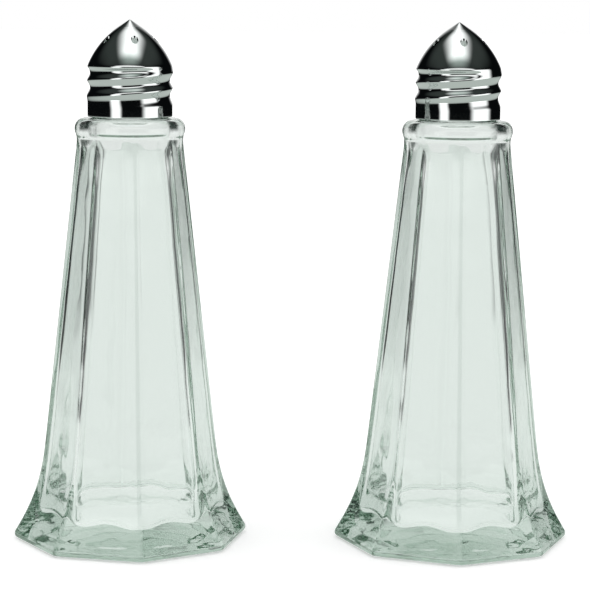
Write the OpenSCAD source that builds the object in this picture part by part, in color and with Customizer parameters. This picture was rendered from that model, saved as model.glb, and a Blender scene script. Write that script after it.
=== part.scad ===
// A pair of table shakers: an eight-sided flared glass bottle with a round screw neck,
// a thin plated cap with a rolled screw thread and five pour holes, and a sealing ring.
// Millimetres. +Z is up, X runs through both shakers, the origin is on the table midway between them.

/* [Set] */
// Gap between the feet of the two shakers, from corner to corner
pair_gap = 19.7; // [5:0.1:60]
// How far each bottle is turned about its own axis, salt first
bottle_turns = [-80.6, -89]; // [-180:0.1:180]
// How far each cap is turned about its own axis when it is closed, salt first
cap_turns = [160, 151.6]; // [-180:0.1:180]

/* [Glass body] */
// Height of the foot's upright edge
foot_edge_h = 1.4; // [0.8:0.1:3]
// Radius to a corner of the foot
foot_r = 25.9; // [22:0.1:32]
// Height at which the flare of the foot begins
flare_h = 21.8; // [15:0.1:35]
// Radius to a corner where the flare begins
flare_r = 18.9; // [15:0.1:23]
// How sharply the flare sweeps out
flare_power = 2.4; // [1.5:0.05:4]
// Height at which the flat panels end
panel_top_h = 86.3; // [70:0.1:110]
// How much the panels' corners stand out past the waist under the collar
panel_step = 0.2; // [0:0.05:1]
// Sharpness of the body's corners: a higher number is a sharper corner
body_edge = 40; // [20:1:150]
// Sharpness of the foot's corners
foot_edge = 130; // [40:1:300]

/* [Collar] */
// How far the round collar stands out past the cap
collar_over = 2.9; // [1:0.05:5]
// Height from the top of the panels to the widest part of the collar
collar_h = 4.5; // [3:0.1:8]
// Height from the collar's widest part to its top
collar_rise = 2.25; // [1.5:0.05:3.5]
// Width of the collar's rounded side
collar_w = 1.95; // [1:0.05:2.6]
// Depth of the waist under the collar
waist_depth = 0.55; // [0.2:0.05:1.5]

/* [Neck] */
// Radial gap between the crest of the neck's thread and the cap's wall
crest_gap = 0.3; // [0.1:0.05:0.6]
// Radial gap between the neck and the ridge inside the cap
root_gap = 0.4; // [0.15:0.05:0.8]
// Thickness of the neck's glass
neck_wall = 2.2; // [1.5:0.1:3.5]
// Width of the neck's thread
neck_thread_w = 1.5; // [1:0.1:2]
// How many turns shorter the neck's thread is than the groove in the cap
thread_short = 0.94; // [0.7:0.02:1.4]
// How far the neck's rim lies below the foot of the cap's dome
rim_drop = 0.25; // [0:0.05:1.5]

/* [Cavity] */
// Thickness of the glass under the cavity
floor_t = 4.2; // [3:0.1:12]
// Thickness of the wall at the corners of the panels
wall_t = 2.3; // [1.5:0.1:4]
// How much wider the cavity gets from the flare down to its floor
cavity_flare = 1.6; // [0:0.1:3]
// How much higher the floor's edge lies in the middle of a panel than at a corner
floor_wave = 1.1; // [0:0.1:2]
// Depth of the hollow under the foot
punt_depth = 1.3; // [0.5:0.1:3]
// Width of the rim that the foot stands on, at its corners
foot_rim = 8.4; // [4:0.1:14]

/* [Cap] */
// Thickness of the cap's metal
metal_t = 0.35; // [0.25:0.05:0.6]
// Outer radius of the cap's skirt
skirt_r = 9.25; // [7:0.05:12]
// Height of the pointed dome above the skirt
dome_h = 10; // [8:0.1:16]
// Slope of the cone at the dome's tip
tip_slope = 33.5; // [20:0.5:45]
// Radius at which that cone goes over into the dome's round side
tip_r = 2.4; // [1:0.1:5]
// Gap between the cap's lower edge and the collar
cap_gap = 0.4; // [0.2:0.05:1.5]
// Lead of the screw thread: eight turns to the inch
thread_lead = 3.175; // [2.5:0.005:4]
// Depth of the groove that is rolled into the skirt
groove_depth = 0.56; // [0.4:0.02:0.8]
// How far the ridges between its turns stand out past the skirt
ridge_swell = 0.18; // [0:0.02:0.3]
// How much wider the groove is than the lead, so that two turns of it meet in a ridge
groove_overlap = 0.72; // [0:0.02:1]
// Turns of the groove
groove_turns = 2.44; // [2:0.02:2.6]
// Height of the groove's start above the cap's lower edge
groove_start_h = 2.85; // [2.5:0.05:4]
// Height from the end of the groove to the dome
groove_land = 0.4; // [0.2:0.05:2]

/* [Pour holes] */
// Diameter of a pour hole
hole_d = 1.6; // [0.8:0.1:2.5]
// Distance from the cap's side to the circle that the pour holes lie on
hole_inset = 3.75; // [3:0.05:6]
// Number of pour holes
hole_count = 5; // [3:1:8]
// Angle from the groove's start to the first pour hole
hole_angle = 53.1; // [0:0.1:72]

/* [Sealing ring] */
// Thickness of the sealing ring
ring_t = 1; // [0.6:0.1:1.4]
// Radial gap between the sealing ring and the cap's skirt
ring_side_gap = 0.6; // [0.3:0.05:1.5]
// How much wider the ring's hole is than the neck's bore, on the radius
ring_step = 0.6; // [0:0.1:1.2]
// Gap between the ring and the rim of the neck
ring_gap = 0.05; // [0.02:0.01:0.2]

/* [Hidden] */

// Sides of the glass body, and the angles of one panel: they lie closer where the corner is rounded
sides = 8;
side_angle = 360 / sides;
panel_steps = [0, 3.5, 12.5, 22.5, 32.5, 41.5];
angles = [for (s = [0 : sides - 1], a = panel_steps) s * side_angle + a];

// Radii that follow the cap
cap_inner_r = skirt_r - metal_t;
neck_crest_r = cap_inner_r - crest_gap;
neck_r = cap_inner_r - groove_depth - root_gap;
mouth_r = neck_r - neck_wall;
collar_r = skirt_r + collar_over;
waist_r = collar_r - waist_depth;
panel_top_r = waist_r + panel_step;
ring_r = cap_inner_r - ring_side_gap;
ring_inner_r = mouth_r + ring_step;
hole_circle_r = skirt_r - hole_inset;

// Radii of the foot and of the spacing
punt_r = foot_r - foot_rim;
punt_ball_r = (punt_r * punt_r + punt_depth * punt_depth) / (2 * punt_depth);
axis_spacing = 2 * foot_r + pair_gap;

// Heights from the collar up
groove_w = thread_lead + groove_overlap;
skirt_h = groove_start_h + groove_turns * thread_lead + groove_land;
collar_z = panel_top_h + collar_h;
collar_top = collar_z + collar_rise;
cap_z = collar_top + cap_gap;
rim_z = cap_z + skirt_h - rim_drop;

// Where a thread begins, how far it takes to reach its full depth, and how far to end, as angles
groove_fade = [60, 140, 45];
swell_fade = [0, 20, 45];
neck_fade = [0, 25, 25];

// Turns of the ridge above the groove, and how pointed the ridges beside a groove are
swell_turns = 1.75;
groove_ridge = 1.4;
neck_ridge = 2;

// The groove also runs out just under the dome
groove_runout = 0.9;

// Spacing of the rings that carry a thread, steps of the dome's arc, and the smallest gap that is drawn
step_h = 0.5;
dome_steps = 7;
slit = 0.01;

// ---- shapes that the pieces share

function mix(a, b, t) = a + (b - a) * t;
function ease(t) = let (u = max(0, min(1, t))) u * u * (3 - 2 * u);

// Radius at angle a of an eight-sided ring whose corners lie at corner_r; a higher edge makes them sharper
function panel_radius(a, corner_r, edge) =
    let (flat_r = corner_r * cos(side_angle / 2) * pow(2, 1 / edge))
    let (total = [for (k = [0 : sides / 2 - 1]) pow(abs(cos(a - (k + 0.5) * side_angle)), edge)])
    flat_r / pow(total[0] + total[1] + total[2] + total[3], 1 / edge);

// A smooth bump, 1 at its middle and 0 at half its width; a lower ridge power makes its foot steeper
function bump(d, w, ridge) = abs(d) >= w / 2 ? 0 : pow(cos(180 * d / w), ridge);

// How deep a thread of some turns is at angle a and height z, from 0 to 1; it starts at angle 0 and height z0
function helix(a, z, z0, turns, fade, w, ridge) =
    max([for (n = [0 : ceil(turns)])
        let (run = a + 360 * n)
        let (depth = ease((run - fade[0]) / fade[1]) * ease((360 * turns - run) / fade[2]))
        depth * bump(z - z0 - thread_lead * run / 360, w, ridge)]);

// One ring of points at height z, where radius is a function of the angle, or round
function ring_at(z, radius) = [for (a = angles) [radius(a) * cos(a), radius(a) * sin(a), z]];
function round_ring(z, r) = ring_at(z, function(a) r);

// A closed solid through a stack of rings, with its two ends closed to points on the axis
module stacked(rings, low_z, high_z) {
    n = len(angles);
    m = len(rings);
    points = concat([for (r = rings, p = r) p], [[0, 0, low_z], [0, 0, high_z]]);
    walls = [for (j = [0 : m - 2], i = [0 : n - 1])
        let (a = j * n + i, b = j * n + (i + 1) % n)
        each [[a, a + n, b], [b, a + n, b + n]]];
    low = [for (i = [0 : n - 1]) [m * n, i, (i + 1) % n]];
    high = [for (i = [0 : n - 1]) [m * n + 1, (m - 1) * n + (i + 1) % n, (m - 1) * n + i]];
    polyhedron(points, concat(walls, low, high), convexity = 8);
}

// ---- glass bottle

// Radius to a corner of the body at height z: a straight taper, and below it the flare of the foot
function taper_r(z) = mix(flare_r, panel_top_r, (z - flare_h) / (panel_top_h - flare_h));
function body_r(z) = taper_r(z) + (z >= flare_h ? 0 :
    (foot_r - taper_r(foot_edge_h)) * pow((flare_h - z) / (flare_h - foot_edge_h), flare_power));
function edge_at(z) = mix(foot_edge, body_edge, ease(z / flare_h));
function body_ring(z) = ring_at(z, function(a) panel_radius(a, body_r(z), edge_at(z)));

// The foot's edge is upright, with its lower and upper rims rounded off
foot_rim_low = [[0, 0.45], [0.35, 0.1]];
foot_rim_high = 0.2;
function foot_rings() = concat(
    [for (e = foot_rim_low) ring_at(e[0], function(a) panel_radius(a, foot_r - e[1], foot_edge))],
    [ring_at(foot_edge_h - foot_rim_high, function(a) panel_radius(a, foot_r, foot_edge))]);
function body_rings() = concat(
    [for (t = [0.02, 0.16, 0.33, 0.52, 0.75, 1]) body_ring(mix(foot_edge_h, flare_h, t))],
    [for (t = [0.45, 0.94, 1]) body_ring(mix(flare_h, panel_top_h, t))],
    [round_ring(mix(panel_top_h, collar_z, 0.45), waist_r)]);
function collar_rings() = [for (f = [-41, -15, 15, 40, 65, 90])
    round_ring(collar_z + collar_rise * sin(f), collar_r - collar_w * (1 - cos(f)))];

// The neck's thread lies midway between the turns of the cap's groove, so it takes the cap's angles
neck_foot_w = 0.5;
rim_round = 0.5;
function neck_rings(turn) = concat(
    [round_ring(collar_top + slit, neck_r + neck_foot_w)],
    [for (z = [collar_top + neck_foot_w : step_h : rim_z - rim_round])
        ring_at(z, function(a) mix(neck_r, neck_crest_r,
            helix((a - turn + 720) % 360, z, cap_z + groove_start_h + thread_lead / 2,
                groove_turns - thread_short, neck_fade, neck_thread_w, neck_ridge)))],
    [for (f = [40, 90]) round_ring(rim_z - rim_round * (1 - sin(f)), neck_r - rim_round * (1 - cos(f)))]);

// The cavity follows the panels down to a rounded floor, turns round under the collar, and closes in a
// shoulder under the neck
floor_round = 2.5;
round_off_h = 6;
shoulder_z = collar_z + 0.3;
cavity_top = collar_top - 0.8;
function cavity_r(z) =
    min(body_r(z) - wall_t, flare_r - wall_t + cavity_flare * (1 - ease((z - floor_t) / flare_h)));
function cavity_ring(z) = ring_at(z, function(a) panel_radius(a, cavity_r(z), body_edge));
function floor_ring(f) = [for (a = angles)
    let (r = panel_radius(a, cavity_r(floor_t + floor_round) - floor_round * (1 - sin(f)), body_edge))
    [r * cos(a), r * sin(a), floor_t + floor_round * (1 - cos(f)) + floor_wave * (1 - cos(sides * a)) / 2]];
function cavity_rings() = concat(
    [for (f = [10, 45, 80]) floor_ring(f)],
    [for (t = [0.25, 0.55, 1]) cavity_ring(mix(floor_t + floor_round, flare_h, t))],
    [for (t = [0.5, 1]) cavity_ring(mix(flare_h, panel_top_h - round_off_h, t))],
    [round_ring(panel_top_h - 1, waist_r - wall_t)],
    [for (f = [0, 30, 60, 90])
        round_ring(mix(shoulder_z, cavity_top, sin(f)), mix(mouth_r + 0.2, waist_r - wall_t, cos(f)))]);

module bottle(turn, cap_turn) {
    rotate(turn) difference() {
        stacked(concat(foot_rings(), body_rings(), collar_rings(), neck_rings(cap_turn - turn)), 0, rim_z);
        stacked(cavity_rings(), floor_t, cavity_top);
        translate([0, 0, cavity_top - 1]) cylinder(h = rim_z - cavity_top + 2, r = mouth_r, $fn = 64);
        translate([0, 0, punt_depth - punt_ball_r]) sphere(r = punt_ball_r, $fn = 96);
    }
}

// ---- sealing ring, which lies on the neck's rim inside the cap

module seal_ring() {
    translate([0, 0, rim_z + ring_gap]) rotate_extrude($fn = 96)
        translate([ring_inner_r, 0]) square([ring_r - ring_inner_r, ring_t]);
}

// ---- cap, with its lower edge at height 0

// The dome is a cone at its tip, which goes over into an arc down to the top of the skirt
tip_edge = [tip_r, dome_h - tip_r * tan(tip_slope)];
tip_normal = [sin(tip_slope), cos(tip_slope)];
arc_span = [skirt_r, 0] - tip_edge;
arc_r = -(arc_span * arc_span) / (2 * arc_span * tip_normal);
arc_centre = tip_edge - arc_r * tip_normal;
arc_end = 90 - atan2(-arc_centre.y, skirt_r - arc_centre.x);

// The cap's skin, set in by some distance; low_h is the height of its open end
function cap_tip(inset) = skirt_h + dome_h - inset / cos(tip_slope);
function groove_at(a, h) = ease((skirt_h - h) / groove_runout) *
    helix(a, h, groove_start_h, groove_turns, groove_fade, groove_w, groove_ridge);
function swell_at(a, h) =
    helix(a, h, groove_start_h + thread_lead / 2, swell_turns, swell_fade, thread_lead, neck_ridge);
function skirt_radius(a, h, inset) =
    skirt_r - inset - groove_depth * groove_at(a, h) + ridge_swell * swell_at(a, h);
function cap_rings(inset, low_h) = concat(
    [round_ring(low_h, skirt_r - inset), round_ring(groove_start_h - groove_w / 2, skirt_r - inset)],
    [for (h = [groove_start_h - groove_w / 2 + step_h : step_h : skirt_h - step_h / 2])
        ring_at(h, function(a) skirt_radius(a, h, inset))],
    [for (i = [0 : dome_steps])
        let (f = mix(arc_end, tip_slope, i / dome_steps))
        let (from_centre = (arc_r - inset) * [sin(f), cos(f)])
        round_ring(skirt_h + arc_centre.y + from_centre.y, arc_centre.x + from_centre.x)],
    [round_ring(cap_tip(inset) - slit, slit / tan(tip_slope))]);

module cap() {
    difference() {
        stacked(cap_rings(0, 0), 0, cap_tip(0));
        stacked(cap_rings(metal_t, -1), -1, cap_tip(metal_t));
        for (k = [0 : hole_count - 1]) rotate(hole_angle + k * 360 / hole_count)
            translate([hole_circle_r, 0, skirt_h]) cylinder(h = dome_h, d = hole_d, $fn = 32);
    }
}

// ---- the two shakers

// The pair is moved so that its outline is centred, although the two bottles are turned differently
function reach(turn, side) = max([for (k = [0 : sides - 1]) side * foot_r * cos(turn + k * side_angle)]);
centre_shift = (reach(bottle_turns[0], -1) - reach(bottle_turns[1], 1)) / 2;
module shaker_place(side) translate([side * axis_spacing / 2 + centre_shift, 0, 0]) children();

module salt_bottle() color("honeydew", 0.4) shaker_place(-1) bottle(bottle_turns[0], cap_turns[0]);
module pepper_bottle() color("honeydew", 0.4) shaker_place(1) bottle(bottle_turns[1], cap_turns[1]);
module salt_seal_ring() color("white") shaker_place(-1) seal_ring();
module pepper_seal_ring() color("white") shaker_place(1) seal_ring();
module salt_cap() color("silver") shaker_place(-1) translate([0, 0, cap_z]) rotate(cap_turns[0]) cap();
module pepper_cap() color("silver") shaker_place(1) translate([0, 0, cap_z]) rotate(cap_turns[1]) cap();

salt_bottle();
salt_seal_ring();
salt_cap();
pepper_bottle();
pepper_seal_ring();
pepper_cap();
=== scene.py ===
"""Looks of the pair of glass table shakers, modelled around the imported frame.

Metres, +Z up, -Y to the viewer.
"""

import math

import bmesh
import bpy
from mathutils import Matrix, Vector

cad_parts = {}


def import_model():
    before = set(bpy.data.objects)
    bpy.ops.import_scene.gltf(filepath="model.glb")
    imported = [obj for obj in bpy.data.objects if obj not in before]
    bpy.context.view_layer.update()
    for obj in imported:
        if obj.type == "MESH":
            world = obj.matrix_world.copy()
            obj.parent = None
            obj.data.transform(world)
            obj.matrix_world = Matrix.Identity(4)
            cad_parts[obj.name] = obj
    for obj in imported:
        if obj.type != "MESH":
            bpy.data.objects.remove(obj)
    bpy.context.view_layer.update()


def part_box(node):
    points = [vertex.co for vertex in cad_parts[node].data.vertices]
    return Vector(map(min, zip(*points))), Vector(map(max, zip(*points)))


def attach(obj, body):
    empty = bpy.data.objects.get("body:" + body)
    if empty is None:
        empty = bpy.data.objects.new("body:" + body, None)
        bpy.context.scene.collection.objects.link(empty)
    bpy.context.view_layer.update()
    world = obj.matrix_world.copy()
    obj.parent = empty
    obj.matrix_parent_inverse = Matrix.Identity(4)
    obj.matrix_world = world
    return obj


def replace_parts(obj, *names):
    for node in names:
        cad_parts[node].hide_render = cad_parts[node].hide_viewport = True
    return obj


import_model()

MM = 0.001
TURN = 2 * math.pi

# ---- sizes in millimetres, as in the part's source

SIDES = 8
PANEL_ANGLE = TURN / SIDES
FOOT_R = 25.9
FOOT_EDGE_H = 1.4
FLARE_H = 21.8
FLARE_R = 18.9
FLARE_POWER = 2.4
PANEL_TOP_H = 86.3
PANEL_TOP_R = 11.8
WAIST_R = 11.6
WAIST_H = 88.3
COLLAR_R = 12.15
COLLAR_H = 90.8
COLLAR_RISE = 2.25
COLLAR_W = 1.95
NECK_R = 7.94
NECK_CREST_R = 8.6
MOUTH_R = 5.74
FLOOR_T = 4.2
FLOOR_ROUND = 2.5
FLOOR_WAVE = 1.1
WALL_T = 2.3
SHOULDER_Z = COLLAR_H + 0.3
SHOULDER_TOP = COLLAR_H + COLLAR_RISE - 0.8
CAVITY_FLARE = 1.6
PUNT_R = 17.5
PUNT_DEPTH = 1.3
METAL_T = 0.35
SKIRT_R = 9.25
DOME_H = 10.0
TIP_SLOPE = math.radians(33.5)
TIP_R = 2.4
THREAD_LEAD = 3.175
GROOVE_DEPTH = 0.56
GROOVE_W = THREAD_LEAD + 0.72
GROOVE_TURNS = 2.44
GROOVE_START_H = 2.85
GROOVE_LAND = 0.4
GROOVE_RUNOUT = 0.9
GROOVE_RIDGE = 1.4
GROOVE_FADE = (math.radians(60), math.radians(140), math.radians(45))
RIDGE_SWELL = 0.18
SWELL_TURNS = 1.75
SWELL_FADE = (0, math.radians(20), math.radians(45))
NECK_THREAD_W = 1.5
NECK_THREAD_TURNS = 1.5
NECK_RIDGE = 2.0
NECK_FADE = (0, math.radians(25), math.radians(25))
HOLE_D = 1.6
HOLE_CIRCLE_R = 5.5
HOLE_COUNT = 5
HOLE_ANGLE = math.radians(53.1)
RING_R = 8.3
RING_INNER_R = 6.34
BOTTLE_TURNS = {"salt": math.radians(-80.6), "pepper": math.radians(-89)}
CAP_TURNS = {"salt": math.radians(160), "pepper": math.radians(151.6)}

SKIRT_H = GROOVE_START_H + GROOVE_TURNS * THREAD_LEAD + GROOVE_LAND
COLLAR_TOP = COLLAR_H + COLLAR_RISE

# ---- places, from the frame

SHAKERS = ("salt", "pepper")
axis_x = {who: sum(corner.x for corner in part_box(who + "_seal_ring")) / 2 for who in SHAKERS}
cap_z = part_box("salt_cap")[0].z / MM
rim_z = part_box("salt_bottle")[1].z / MM
ring_low, ring_high = (corner.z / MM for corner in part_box("salt_seal_ring"))


def mix(a, b, t):
    return a + (b - a) * t


def ease(t):
    t = min(max(t, 0), 1)
    return t * t * (3 - 2 * t)


# ---- modelling by hand: rings of edges that are extruded up a vertical axis


def start_ring(name, corners, radius, z):
    """A new piece that is one open ring of edges, left in edit mode with the ring selected."""
    bpy.ops.object.select_all(action="DESELECT")
    bpy.ops.mesh.primitive_circle_add(
        vertices=corners, radius=radius * MM, fill_type="NOTHING", location=(0, 0, z * MM)
    )
    piece = bpy.context.object
    piece.name = name
    bpy.ops.object.transform_apply(location=True, rotation=True, scale=True)
    bpy.ops.object.mode_set(mode="EDIT")
    bpy.ops.mesh.select_mode(type="EDGE")
    bpy.ops.mesh.select_all(action="SELECT")
    return piece


def edit_mesh():
    return bmesh.from_edit_mesh(bpy.context.object.data)


def show_edit():
    bmesh.update_edit_mesh(bpy.context.object.data)


def select_edges(test):
    """Selects the edges of the piece in edit mode whose two ends both pass the test."""
    bpy.ops.mesh.select_all(action="DESELECT")
    mesh = edit_mesh()
    for edge in mesh.edges:
        edge.select_set(all(test(v.co) for v in edge.verts))
    show_edit()


def level(z):
    return lambda place: abs(place.z / MM - z) < 0.01


def selected_radius():
    return max(math.hypot(v.co.x, v.co.y) for v in edit_mesh().verts if v.select) / MM


def selected_height():
    heights = [v.co.z for v in edit_mesh().verts if v.select]
    return sum(heights) / len(heights) / MM


def next_ring(z, radius, roundness=0.0):
    """Extrudes the selected ring to a new height and radius, and draws it towards a circle by roundness."""
    bpy.ops.mesh.extrude_edges_move(TRANSFORM_OT_translate={"value": (0, 0, (z - selected_height()) * MM)})
    if roundness:
        bpy.ops.transform.tosphere(value=roundness)
    scale = radius / selected_radius()
    bpy.ops.transform.resize(value=(scale, scale, 1), center_override=(0, 0, z * MM))


def panelled_ring(name, corner_r, z, corner_cut):
    """An eight-sided ring with rounded corners: its corners are bevelled, and its long sides cut up."""
    piece = start_ring(name, SIDES, corner_r, z)
    bpy.ops.mesh.bevel(offset=corner_cut * MM, segments=3, profile=0.5, affect="VERTICES")
    bpy.ops.mesh.select_all(action="DESELECT")
    mesh = edit_mesh()
    for edge in mesh.edges:
        edge.select_set(edge.calc_length() > 2 * corner_cut * MM)
    show_edit()
    bpy.ops.mesh.subdivide(number_cuts=4)
    bpy.ops.mesh.select_all(action="SELECT")
    return piece


def close_ring():
    bpy.ops.mesh.edge_face_add()


def leave_edit():
    bpy.ops.mesh.select_all(action="SELECT")
    bpy.ops.mesh.normals_make_consistent(inside=False)
    bpy.ops.object.mode_set(mode="OBJECT")


def only(piece):
    """Makes a piece the only selected one."""
    bpy.ops.object.select_all(action="DESELECT")
    piece.select_set(True)
    bpy.context.view_layer.objects.active = piece


def finish_with(piece, kind, **settings):
    """Adds a modifier with its settings and applies it."""
    modifier = piece.modifiers.new(kind.title(), kind)
    for name, value in settings.items():
        setattr(modifier, name, value)
    only(piece)
    bpy.ops.object.modifier_apply(modifier=modifier.name)


def smooth(piece, angle=40):
    only(piece)
    bpy.ops.object.shade_smooth_by_angle(angle=math.radians(angle))


def weigh(piece, name, amount):
    """A vertex group whose weights are given by a function of the vertex's place in millimetres."""
    group = piece.vertex_groups.new(name=name)
    for vertex in piece.data.vertices:
        weight = amount(*(vertex.co / MM))
        if weight > 0:
            group.add([vertex.index], weight, "REPLACE")
    return group.name


def settle(piece, who, turn):
    """Turns a piece that was modelled on the world's axis and moves it onto its shaker's axis."""
    only(piece)
    piece.rotation_euler.z = turn
    piece.location.x = axis_x[who]
    bpy.ops.object.transform_apply(location=True, rotation=True, scale=True)


def copy_of(piece, name):
    copied = piece.copy()
    copied.data = piece.data.copy()
    copied.name = name
    bpy.context.scene.collection.objects.link(copied)
    return copied


# ---- the screw thread that cap and neck share


def thread_weight(angle, z, start_z, turns, fade, width, ridge):
    """How much of a thread's full depth is reached at an angle and height, from 0 to 1."""
    weight = 0
    for lap in range(math.ceil(turns) + 1):
        run = angle % TURN + lap * TURN
        offset = abs(z - start_z - THREAD_LEAD * run / TURN)
        if offset < width / 2:
            depth = ease((run - fade[0]) / fade[1]) * ease((turns * TURN - run) / fade[2])
            weight = max(weight, depth * math.cos(math.pi * offset / width) ** ridge)
    return weight


# ---- glass bottle


def taper_r(z):
    return mix(FLARE_R, PANEL_TOP_R, (z - FLARE_H) / (PANEL_TOP_H - FLARE_H))


def body_r(z):
    """Radius to a corner of the body: a straight taper, and below it the flare of the foot."""
    if z >= FLARE_H:
        return taper_r(z)
    reach = FOOT_R - taper_r(FOOT_EDGE_H)
    return taper_r(z) + reach * ((FLARE_H - z) / (FLARE_H - FOOT_EDGE_H)) ** FLARE_POWER


def cavity_r(z):
    flared = FLARE_R - WALL_T + CAVITY_FLARE * (1 - ease((z - FLOOR_T) / FLARE_H))
    return min(body_r(z) - WALL_T, flared)


def outer_skin():
    """Foot, flare, panels, collar and neck, from the hollow under the foot up to the rim."""
    skin = panelled_ring("glass_outside", FOOT_R - 0.5, 0, corner_cut=0.8)
    next_ring(0.3, FOOT_R - 0.12)
    next_ring(0.8, FOOT_R)
    next_ring(FOOT_EDGE_H - 0.1, FOOT_R - 0.02)
    next_ring(FOOT_EDGE_H + 0.15, body_r(FOOT_EDGE_H + 0.3))
    flare_steps = 9
    for step in range(1, flare_steps + 1):
        z = mix(FOOT_EDGE_H, FLARE_H, (step / flare_steps) ** 1.3)
        next_ring(z + 0.3, body_r(z + 0.3))
    panel_steps = 9
    for step in range(1, panel_steps + 1):
        z = mix(FLARE_H, PANEL_TOP_H, step / panel_steps)
        next_ring(z, body_r(z), roundness=0.1 if step > panel_steps - 2 else 0)
    next_ring(mix(PANEL_TOP_H, WAIST_H, 0.5), mix(PANEL_TOP_R, WAIST_R, 0.6), roundness=0.6)
    next_ring(WAIST_H, WAIST_R, roundness=1)
    for lean in (-41, -15, 15, 40, 65, 85):
        angle = math.radians(lean)
        next_ring(COLLAR_H + COLLAR_RISE * math.sin(angle), COLLAR_R - COLLAR_W * (1 - math.cos(angle)))
    next_ring(COLLAR_TOP, NECK_R + 0.8)
    next_ring(COLLAR_TOP + 0.15, NECK_R + 0.15)
    neck_steps = 9
    for step in range(neck_steps + 1):
        next_ring(mix(COLLAR_TOP + 0.6, rim_z - 0.8, step / neck_steps), NECK_R)
    next_ring(rim_z - 0.25, NECK_R - 0.05)
    next_ring(rim_z, NECK_R - 0.45)
    # the foot's underside: a flat rim to stand on, then the hollow
    select_edges(level(0))
    next_ring(0, FOOT_R - 1.2)
    next_ring(0, PUNT_R + 0.6)
    for part in (1, 0.93, 0.7, 0.4, 0.12):
        z = PUNT_DEPTH * (1 - part * part)
        next_ring(z, PUNT_R * part, roundness=0.35)
    close_ring()
    leave_edit()
    return skin


def inner_skin():
    """The cavity, from its floor up to the rim."""
    low = FLOOR_T + FLOOR_ROUND
    skin = panelled_ring("glass_inside", cavity_r(low), low, corner_cut=1.9)
    for step in range(1, 5):
        z = mix(low, FLARE_H, step / 4)
        next_ring(z, cavity_r(z))
    for step in range(1, 7):
        z = mix(FLARE_H, PANEL_TOP_H - 6, step / 6)
        next_ring(z, cavity_r(z), roundness=0.1 if step == 6 else 0)
    next_ring(PANEL_TOP_H - 1, WAIST_R - WALL_T, roundness=0.7)
    next_ring(PANEL_TOP_H + 1, WAIST_R - WALL_T, roundness=1)
    for lean in (0, 25, 50, 75):
        angle = math.radians(lean)
        radius = mix(MOUTH_R + 0.2, WAIST_R - WALL_T, math.cos(angle))
        next_ring(mix(SHOULDER_Z, SHOULDER_TOP, math.sin(angle)), radius)
    next_ring(SHOULDER_TOP + 0.3, MOUTH_R)
    for part in (0.35, 0.7, 0.95):
        next_ring(mix(COLLAR_TOP, rim_z, part), MOUTH_R)
    next_ring(rim_z - 0.1, MOUTH_R + 0.1)
    next_ring(rim_z, MOUTH_R + 0.4)
    # the floor
    select_edges(level(low))
    for tilt in (60, 30, 8):
        angle = math.radians(tilt)
        drop = FLOOR_ROUND * (1 - math.cos(angle))
        inset = FLOOR_ROUND * (1 - math.sin(angle))
        next_ring(FLOOR_T + drop, cavity_r(low) - inset)
    for part in (0.7, 0.4, 0.12):
        next_ring(FLOOR_T - 0.2 * (1 - part), cavity_r(low) * part, roundness=0.4)
    close_ring()
    leave_edit()
    return skin


def bottle():
    """The whole bottle on the world's axis: two skins that are bridged at the rim."""
    outside = outer_skin()
    inside = inner_skin()
    only(outside)
    inside.select_set(True)
    bpy.ops.object.join()
    bpy.ops.object.mode_set(mode="EDIT")
    select_edges(level(rim_z))
    bpy.ops.mesh.bridge_edge_loops()
    leave_edit()
    finish_with(outside, "SUBSURF", levels=2, render_levels=2)
    return outside


def add_floor_wave(piece):
    """Lifts the edge of the cavity's floor in the middle of each panel."""
    edge_r = cavity_r(FLOOR_T + FLOOR_ROUND)

    def amount(x, y, z):
        radius = math.hypot(x, y)
        if not (FLOOR_T - 0.5 < z < FLOOR_T + 9 and radius < cavity_r(z) + 0.4):
            return 0
        along = (1 - math.cos(SIDES * math.atan2(y, x))) / 2
        return along * ease((FLOOR_T + 9 - z) / 6) * ease((radius / edge_r - 0.6) / 0.3)

    finish_with(
        piece,
        "DISPLACE",
        direction="Z",
        strength=FLOOR_WAVE * MM,
        mid_level=0,
        vertex_group=weigh(piece, "floor_wave", amount),
    )


def add_neck_thread(piece, lag):
    """Raises the thread on the neck.

    The lag is the angle by which the cap's groove starts after the bottle's zero.
    """
    start = cap_z + GROOVE_START_H + THREAD_LEAD / 2

    def amount(x, y, z):
        on_neck = NECK_R - 0.2 < math.hypot(x, y) < NECK_R + 0.1 and COLLAR_TOP + 0.4 < z < rim_z - 0.3
        if not on_neck:
            return 0
        angle = math.atan2(y, x) - lag
        return thread_weight(angle, z, start, NECK_THREAD_TURNS, NECK_FADE, NECK_THREAD_W, NECK_RIDGE)

    finish_with(
        piece,
        "DISPLACE",
        strength=(NECK_CREST_R - NECK_R) * MM,
        mid_level=0,
        vertex_group=weigh(piece, "neck_thread", amount),
    )


def uneven_inner_wall(piece):
    """The cavity's wall is a little wavy, as a plunger leaves it."""
    unevenness = bpy.data.textures.new("plunger_waves", "CLOUDS")
    unevenness.noise_scale = 5 * MM
    unevenness.noise_depth = 1

    def amount(x, y, z):
        inside = FLOOR_T - 1 < z < PANEL_TOP_H and math.hypot(x, y) < cavity_r(z) + 0.4
        return ease((PANEL_TOP_H - z) / 8) if inside else 0

    finish_with(
        piece,
        "DISPLACE",
        texture=unevenness,
        texture_coords="LOCAL",
        strength=0.18 * MM,
        mid_level=0.5,
        vertex_group=weigh(piece, "inner_wall", amount),
    )


# ---- plated cap


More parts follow.
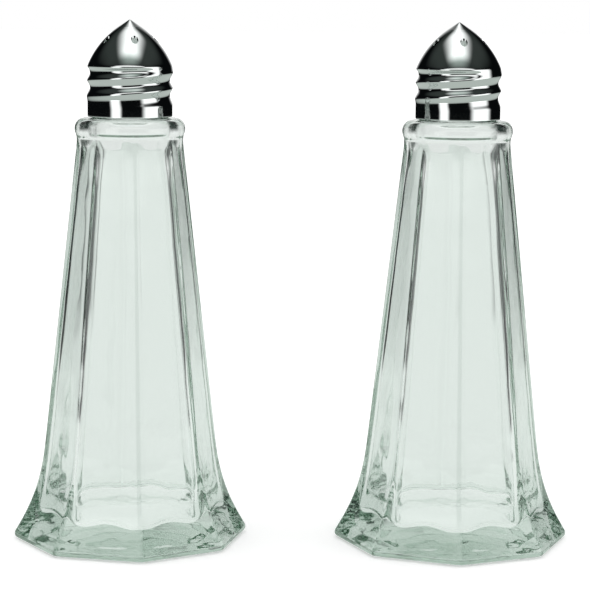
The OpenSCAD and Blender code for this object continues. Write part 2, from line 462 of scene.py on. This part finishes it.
def dome_outline():
    """Heights and radii from the skirt's top to near the dome's tip: an arc and then a cone."""
    edge = (TIP_R, DOME_H - TIP_R * math.tan(TIP_SLOPE))
    span = (SKIRT_R - edge[0], -edge[1])
    normal = (math.sin(TIP_SLOPE), math.cos(TIP_SLOPE))
    arc_r = -(span[0] ** 2 + span[1] ** 2) / (2 * (span[0] * normal[0] + span[1] * normal[1]))
    centre = (edge[0] - arc_r * normal[0], edge[1] - arc_r * normal[1])
    end = math.atan2(SKIRT_R - centre[0], -centre[1])
    arc_steps = 13
    for step in range(arc_steps + 1):
        angle = mix(end, TIP_SLOPE, step / arc_steps)
        yield centre[1] + arc_r * math.cos(angle), centre[0] + arc_r * math.sin(angle)
    for radius in (2.6, 1.9, 1.2, 0.6, 0.25, 0.08):
        yield DOME_H - radius * math.tan(TIP_SLOPE), radius


def cap():
    """The cap on the world's axis, with its groove starting at angle 0."""
    piece = start_ring("cap_sheet", 60, SKIRT_R - 0.05, cap_z)
    next_ring(cap_z + 0.12, SKIRT_R)
    skirt_steps = 14
    for step in range(skirt_steps + 1):
        next_ring(mix(cap_z + 0.5, cap_z + SKIRT_H - 0.5, step / skirt_steps), SKIRT_R)
    for height, radius in dome_outline():
        next_ring(cap_z + SKIRT_H + height, radius)
    bpy.ops.mesh.merge(type="CENTER")
    leave_edit()
    finish_with(piece, "SUBSURF", levels=2, render_levels=2)

    def groove(x, y, z):
        h = z - cap_z
        runout = ease((SKIRT_H - h) / GROOVE_RUNOUT)
        angle = math.atan2(y, x)
        return runout * thread_weight(
            angle, h, GROOVE_START_H, GROOVE_TURNS, GROOVE_FADE, GROOVE_W, GROOVE_RIDGE
        )

    def ridge(x, y, z):
        start = GROOVE_START_H + THREAD_LEAD / 2
        angle = math.atan2(y, x)
        return thread_weight(angle, z - cap_z, start, SWELL_TURNS, SWELL_FADE, THREAD_LEAD, NECK_RIDGE)

    groove_group = weigh(piece, "rolled_groove", groove)
    ridge_group = weigh(piece, "rolled_ridge", ridge)
    finish_with(
        piece, "DISPLACE", strength=-GROOVE_DEPTH * MM, mid_level=0, vertex_group=groove_group
    )
    finish_with(
        piece, "DISPLACE", strength=RIDGE_SWELL * MM, mid_level=0, vertex_group=ridge_group
    )
    finish_with(piece, "SOLIDIFY", thickness=METAL_T * MM, offset=-1, use_even_offset=True)
    punch_holes(piece)
    smooth(piece)
    return piece


def punch_holes(piece):
    """Cuts the pour holes straight down through the dome."""
    bpy.ops.object.select_all(action="DESELECT")
    centre_h = cap_z + SKIRT_H + DOME_H / 2
    for index in range(HOLE_COUNT):
        angle = HOLE_ANGLE + index * TURN / HOLE_COUNT
        bpy.ops.mesh.primitive_cylinder_add(
            vertices=48,
            radius=HOLE_D / 2 * MM,
            depth=DOME_H * MM,
            location=(
                HOLE_CIRCLE_R * math.cos(angle) * MM,
                HOLE_CIRCLE_R * math.sin(angle) * MM,
                centre_h * MM,
            ),
        )
        punch = bpy.context.object
        finish_with(piece, "BOOLEAN", operation="DIFFERENCE", solver="EXACT", object=punch)
        bpy.data.objects.remove(punch)


# ---- sealing ring


def seal_ring():
    """A flat ring with rounded edges."""
    piece = start_ring("ring_section", 96, RING_R, ring_low)
    next_ring(ring_low, RING_INNER_R)
    next_ring(ring_high, RING_INNER_R)
    next_ring(ring_high, RING_R)
    select_edges(lambda place: math.hypot(place.x, place.y) / MM > RING_R - 0.01)
    bpy.ops.mesh.bridge_edge_loops()
    leave_edit()
    finish_with(
        piece,
        "BEVEL",
        width=0.2 * MM,
        segments=3,
        limit_method="ANGLE",
        angle_limit=math.radians(60),
    )
    smooth(piece)
    return piece


# ---- materials


def linear(hex_colour):
    """An sRGB colour such as "c8d0cc" as linear red, green, blue and alpha."""
    parts = [int(hex_colour[i : i + 2], 16) / 255 for i in (0, 2, 4)]
    return tuple(c / 12.92 if c <= 0.04045 else ((c + 0.055) / 1.055) ** 2.4 for c in parts) + (1,)


def new_material(name):
    made = bpy.data.materials.new(name)
    made.use_nodes = True
    made.node_tree.nodes.clear()
    return made, made.node_tree


def add(tree, kind, inputs=None, **settings):
    """Adds a node with its settings, and sets or links each of its inputs."""
    node = tree.nodes.new(kind)
    for name, value in settings.items():
        setattr(node, name, value)
    for name, value in (inputs or {}).items():
        if isinstance(value, bpy.types.NodeSocket):
            tree.links.new(value, node.inputs[name])
        else:
            node.inputs[name].default_value = value
    return node


def uneven_skin(tree, place, grain, detail, roughness, strength, depth):
    """A bump of soft noise, whose grain and depth are in millimetres."""
    noise = add(
        tree,
        "ShaderNodeTexNoise",
        {
            "Vector": place.outputs["Object"],
            "Scale": 1 / (grain * MM),
            "Detail": detail,
            "Roughness": roughness,
        },
    )
    bump = add(
        tree,
        "ShaderNodeBump",
        {"Height": noise.outputs["Fac"], "Strength": strength, "Distance": depth * MM},
    )
    return bump.outputs["Normal"]


def pressed_glass():
    """Pressed soda-lime glass: clear and faintly green where it is thick, with a slightly uneven skin.

    The face that it stands on is knurled, which sparkles through the foot.
    """
    material, tree = new_material("pressed_soda_lime_glass")
    place = add(tree, "ShaderNodeTexCoord")
    skin = uneven_skin(tree, place, grain=9, detail=1.0, roughness=0.4, strength=0.25, depth=0.05)
    knurls = add(
        tree,
        "ShaderNodeTexVoronoi",
        {"Vector": place.outputs["Object"], "Scale": 1 / (2 * MM)},
        feature="SMOOTH_F1",
    )
    height = add(tree, "ShaderNodeSeparateXYZ", {0: place.outputs["Object"]})
    underside = add(
        tree,
        "ShaderNodeMapRange",
        {"Value": height.outputs["Z"], "From Min": 0.5 * MM, "From Max": 0.2 * MM, "To Max": 0.4},
    )
    knurled = add(
        tree,
        "ShaderNodeBump",
        {
            "Height": knurls.outputs["Distance"],
            "Strength": underside.outputs[0],
            "Distance": 0.15 * MM,
            "Normal": skin,
        },
    )
    glass = add(
        tree,
        "ShaderNodeBsdfPrincipled",
        {
            "Base Color": linear("f8faf9"),
            "Roughness": 0.0,
            "IOR": 1.52,
            "Transmission Weight": 1.0,
            "Normal": knurled.outputs["Normal"],
        },
    )
    tint = add(tree, "ShaderNodeVolumeAbsorption", {"Color": linear("a4c2b0"), "Density": 25.0})
    add(
        tree,
        "ShaderNodeOutputMaterial",
        {"Surface": glass.outputs["BSDF"], "Volume": tint.outputs["Volume"]},
    )
    return material


def chrome_plate():
    """Polished chrome plate on thin drawn sheet: a dark mirror with a barely uneven skin."""
    material, tree = new_material("polished_chrome_plate")
    place = add(tree, "ShaderNodeTexCoord")
    skin = uneven_skin(tree, place, grain=3, detail=2.0, roughness=0.5, strength=0.2, depth=0.01)
    plate = add(
        tree,
        "ShaderNodeBsdfPrincipled",
        {
            "Base Color": linear("c3c6c5"),
            "Metallic": 1.0,
            "Roughness": 0.06,
            "Normal": skin,
        },
    )
    add(tree, "ShaderNodeOutputMaterial", {"Surface": plate.outputs["BSDF"]})
    return material


def ring_polythene():
    """Moulded white polythene: milky, with a soft sheen."""
    material, tree = new_material("moulded_white_polythene")
    place = add(tree, "ShaderNodeTexCoord")
    skin = uneven_skin(tree, place, grain=0.6, detail=3.0, roughness=0.5, strength=0.3, depth=0.02)
    shell = add(
        tree,
        "ShaderNodeBsdfPrincipled",
        {
            "Base Color": linear("eeeee8"),
            "Roughness": 0.35,
            "IOR": 1.5,
            "Subsurface Weight": 0.2,
            "Normal": skin,
        },
    )
    add(tree, "ShaderNodeOutputMaterial", {"Surface": shell.outputs["BSDF"]})
    return material


def give(piece, material):
    piece.data.materials.clear()
    piece.data.materials.append(material)


# ---- the set that the shakers stand in
# Light that has passed through the glass sees a set of its own, apart from the one in reflections.
# It is arranged for the view from the front: from the sides and the back it leaves the glass dark above.


def show_in(piece, reflections=False, glass=False):
    """Keeps a piece of the set out of the picture, but shows it in reflections or through the glass."""
    piece.visible_camera = False
    piece.visible_diffuse = False
    piece.visible_shadow = False
    piece.visible_glossy = reflections
    piece.visible_transmission = glass


def fade(tree, value, full, gone):
    """1 where the value is at full, and 0 from gone on."""
    return add(
        tree,
        "ShaderNodeMapRange",
        {"Value": value, "From Min": gone, "From Max": full},
        interpolation_type="SMOOTHSTEP",
    ).outputs[0]


def product(tree, a, b):
    return add(tree, "ShaderNodeMath", {0: a, 1: b}, operation="MULTIPLY").outputs[0]


def place_parts(tree, output="Object"):
    place = add(tree, "ShaderNodeTexCoord")
    return add(tree, "ShaderNodeSeparateXYZ", {0: place.outputs[output]}).outputs


def round_angle(tree, x, y):
    """The angle about the pair from the viewer's side, on either hand."""
    ahead = product(tree, y, -1.0)
    turn = add(tree, "ShaderNodeMath", {0: x, 1: ahead}, operation="ARCTAN2")
    return add(tree, "ShaderNodeMath", {0: turn.outputs[0]}, operation="ABSOLUTE").outputs[0]


def distance_from_pair(tree, x, y):
    squares = add(tree, "ShaderNodeMath", {0: product(tree, x, x), 1: product(tree, y, y)}, operation="ADD")
    return add(tree, "ShaderNodeMath", {0: squares.outputs[0]}, operation="SQRT").outputs[0]


def glow_material(name, shade, strength, weight, kind):
    """A glow that fades out by its weight.

    Cloth hides what is behind it and light adds to it, while a floor lets nothing through.
    """
    material, tree = new_material(name)
    fading = weight(tree)
    if kind != "cloth":
        strength = product(tree, fading, strength)
    light = add(tree, "ShaderNodeEmission", {"Color": linear(shade), "Strength": strength})
    out = light.outputs[0]
    if kind != "floor":
        rest = add(tree, "ShaderNodeBsdfTransparent")
    if kind == "cloth":
        out = add(tree, "ShaderNodeMixShader", {0: fading, 1: rest.outputs[0], 2: out}).outputs[0]
    elif kind == "light":
        out = add(tree, "ShaderNodeAddShader", {0: rest.outputs[0], 1: out}).outputs[0]
    add(tree, "ShaderNodeOutputMaterial", {"Surface": out})
    return material


def sheet(name, height, material):
    bpy.ops.object.select_all(action="DESELECT")
    bpy.ops.mesh.primitive_plane_add(size=8, location=(0, 0, height))
    piece = bpy.context.object
    piece.name = name
    bpy.ops.object.transform_apply(location=True, rotation=True, scale=True)
    give(piece, material)
    return piece


def white_sheet():
    """The sheet under the pair, lit by the room, with a little glow of its own that lightens the shadows."""
    material, tree = new_material("white_sheet")
    paper = add(
        tree,
        "ShaderNodeBsdfPrincipled",
        {
            "Base Color": linear("ffffff"),
            "Roughness": 1.0,
            "Specular IOR Level": 0.0,
            "Emission Color": linear("ffffff"),
            "Emission Strength": 0.22,
        },
    )
    add(tree, "ShaderNodeOutputMaterial", {"Surface": paper.outputs[0]})
    piece = sheet("white_sheet", -0.0003, material)
    piece.visible_glossy = False
    piece.visible_transmission = False


def sheet_in_glass():
    """The sheet as seen through the glass: dark far off, but not behind the pair."""

    def paleness(tree):
        x, y, _ = place_parts(tree)
        near = fade(tree, distance_from_pair(tree, x, y), 0.3, 0.6)
        ahead = fade(tree, round_angle(tree, x, y), math.radians(140), math.radians(165))
        behind = add(tree, "ShaderNodeMath", {0: 1.0, 1: ahead}, operation="SUBTRACT").outputs[0]
        return add(tree, "ShaderNodeMath", {0: near, 1: behind}, operation="MAXIMUM").outputs[0]

    material = glow_material("sheet_in_glass", "f2f7f4", 0.97, paleness, kind="floor")
    show_in(sheet("sheet_in_glass", -0.0002, material), glass=True)


def sheet_in_chrome():
    """The sheet as seen in chrome and in the glass's outer skin: bright nearby and dark far off."""

    def nearness(tree):
        x, y, _ = place_parts(tree)
        return fade(tree, distance_from_pair(tree, x, y), 0.15, 1.2)

    material = glow_material("sheet_in_chrome", "e6efe9", 0.95, nearness, kind="floor")
    show_in(sheet("sheet_in_chrome", -0.0001, material), reflections=True)


def cloth_tent(name, radius, height, shade, glow, around, above, **shown):
    """Cloth round the pair that fades out between two angles from the front and between two heights."""
    bpy.ops.object.select_all(action="DESELECT")
    bpy.ops.mesh.primitive_uv_sphere_add(segments=72, ring_count=36, radius=radius, location=(0, 0, 0))
    piece = bpy.context.object
    piece.name = name
    piece.scale.z = height / radius
    bpy.ops.object.transform_apply(location=True, rotation=True, scale=True)

    def cover(tree):
        x, y, z = place_parts(tree)
        full, gone = (math.radians(angle) for angle in around)
        return product(tree, fade(tree, z, *above), fade(tree, round_angle(tree, x, y), full, gone))

    give(piece, glow_material(name, shade, glow, cover, kind="cloth"))
    show_in(piece, **shown)


def softbox(name, place, tilt, around, size, strength, softness, shade="ffffff"):
    """A glowing panel: tilt leans it back from lying flat, and around turns it about the upright."""
    bpy.ops.object.select_all(action="DESELECT")
    bpy.ops.mesh.primitive_plane_add(
        size=1, location=place, rotation=(math.radians(tilt), 0, math.radians(around))
    )
    piece = bpy.context.object
    piece.name = name
    piece.scale = (size[0], size[1], 1)
    bpy.ops.object.transform_apply(location=True, rotation=True, scale=True)

    def inside(tree):
        u, v, _ = place_parts(tree, "UV")
        weight = 1.0
        for part, soft in ((u, softness[0]), (v, softness[1])):
            off = add(tree, "ShaderNodeMath", {0: part, 1: 0.5}, operation="SUBTRACT")
            away = add(tree, "ShaderNodeMath", {0: off.outputs[0]}, operation="ABSOLUTE")
            weight = product(tree, weight, fade(tree, away.outputs[0], 0.5 - soft, 0.5))
        return weight

    give(piece, glow_material(name, shade, strength, inside, kind="light"))
    show_in(piece, reflections=True)


def upright_strip(name, azimuth, distance, width, low, high, strength, softness):
    """An upright panel; azimuth 0 is the viewer's side and it grows to the right."""
    around = math.radians(azimuth)
    place = (distance * math.sin(around), -distance * math.cos(around), (low + high) / 2)
    softbox(name, place, 90, azimuth, (width, high - low), strength, softness)


def world():
    made = bpy.data.worlds.new("white_room")
    made.use_nodes = True
    made.node_tree.nodes.clear()
    light = add(made.node_tree, "ShaderNodeBackground", {"Color": linear("ffffff"), "Strength": 1.0})
    add(made.node_tree, "ShaderNodeOutputWorld", {"Surface": light.outputs["Background"]})
    bpy.context.scene.world = made


# the camera's place in metres, its lens in millimetres
CAMERA_DISTANCE = 0.4879
CAMERA_HEIGHT = 0.1255
AIM_HEIGHT = 0.0543
CAMERA_LENS = 136.3
CAMERA_ROLL = math.radians(-0.48)
CAMERA_SIDE = -0.0002


def camera():
    data = bpy.data.cameras.new("camera")
    data.lens = CAMERA_LENS
    data.sensor_width = 36
    data.clip_start = 0.01
    eye = bpy.data.objects.new("camera", data)
    eye.location = (CAMERA_SIDE, -CAMERA_DISTANCE, CAMERA_HEIGHT)
    pitch = math.atan2(CAMERA_HEIGHT - AIM_HEIGHT, CAMERA_DISTANCE)
    eye.rotation_euler = (math.pi / 2 - pitch, CAMERA_ROLL, 0)
    bpy.context.scene.collection.objects.link(eye)
    bpy.context.scene.camera = eye


# ---- the making

glass = pressed_glass()
chrome = chrome_plate()
polythene = ring_polythene()

plain_bottle = bottle()
add_floor_wave(plain_bottle)
uneven_inner_wall(plain_bottle)
plain_cap = cap()
plain_ring = seal_ring()
for who in SHAKERS:
    glass_piece = copy_of(plain_bottle, who + "_glass")
    add_neck_thread(glass_piece, CAP_TURNS[who] - BOTTLE_TURNS[who])
    smooth(glass_piece)
    settle(glass_piece, who, BOTTLE_TURNS[who])
    give(glass_piece, glass)
    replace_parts(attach(glass_piece, who + "_bottle"), who + "_bottle")

    cap_piece = copy_of(plain_cap, who + "_screw_cap")
    settle(cap_piece, who, CAP_TURNS[who])
    give(cap_piece, chrome)
    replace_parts(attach(cap_piece, who + "_cap"), who + "_cap")

    ring_piece = copy_of(plain_ring, who + "_sealing_ring")
    settle(ring_piece, who, 0)
    give(ring_piece, polythene)
    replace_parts(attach(ring_piece, who + "_ring"), who + "_seal_ring")
for pattern in (plain_bottle, plain_cap, plain_ring):
    bpy.data.objects.remove(pattern)

white_sheet()
sheet_in_glass()
sheet_in_chrome()
cloth_tent(
    "black_cloth",
    radius=1.3,
    height=1.7,
    shade="15181a",
    glow=0.5,
    around=(150, 178),
    above=(9, 10),
    reflections=True,
)
cloth_tent(
    "side_cloth",
    radius=1.2,
    height=1.6,
    shade="39433f",
    glow=0.8,
    around=(140, 165),
    above=(0.12, 0.3),
    glass=True,
)
for name, azimuth, distance, width, softness in (
    ("left_strip", -37.5, 0.42, 0.27, (0.3, 0.14)),
    ("right_strip", 64, 0.42, 0.56, (0.28, 0.14)),
):
    upright_strip(name, azimuth, distance, width, low=-0.2, high=0.28, strength=1.9, softness=softness)
softbox(
    "ceiling_glow",
    (0, -0.05, 0.60),
    tilt=0,
    around=0,
    size=(2.2, 1.5),
    strength=0.085,
    softness=(0.3, 0.4),
    shade="cfe0d8",
)
softbox(
    "front_glow",
    (0, -0.45, 0.78),
    tilt=0,
    around=0,
    size=(0.95, 0.8),
    strength=0.7,
    softness=(0.45, 0.5),
    shade="dcebe4",
)
softbox(
    "overhead_panel",
    (0, -0.06, 0.76),
    tilt=0,
    around=0,
    size=(0.9, 0.93),
    strength=1.9,
    softness=(0.4, 0.3),
)
softbox(
    "front_panel",
    (0, -0.68, 0.52),
    tilt=59,
    around=0,
    size=(1.5, 0.34),
    strength=1.7,
    softness=(0.2, 0.35),
)
world()
camera()
bpy.context.scene.view_settings.view_transform = "Standard"
# light goes through both walls of the glass and back many times
cycles = bpy.context.scene.cycles
cycles.max_bounces = 32
cycles.glossy_bounces = 24
cycles.transmission_bounces = 32
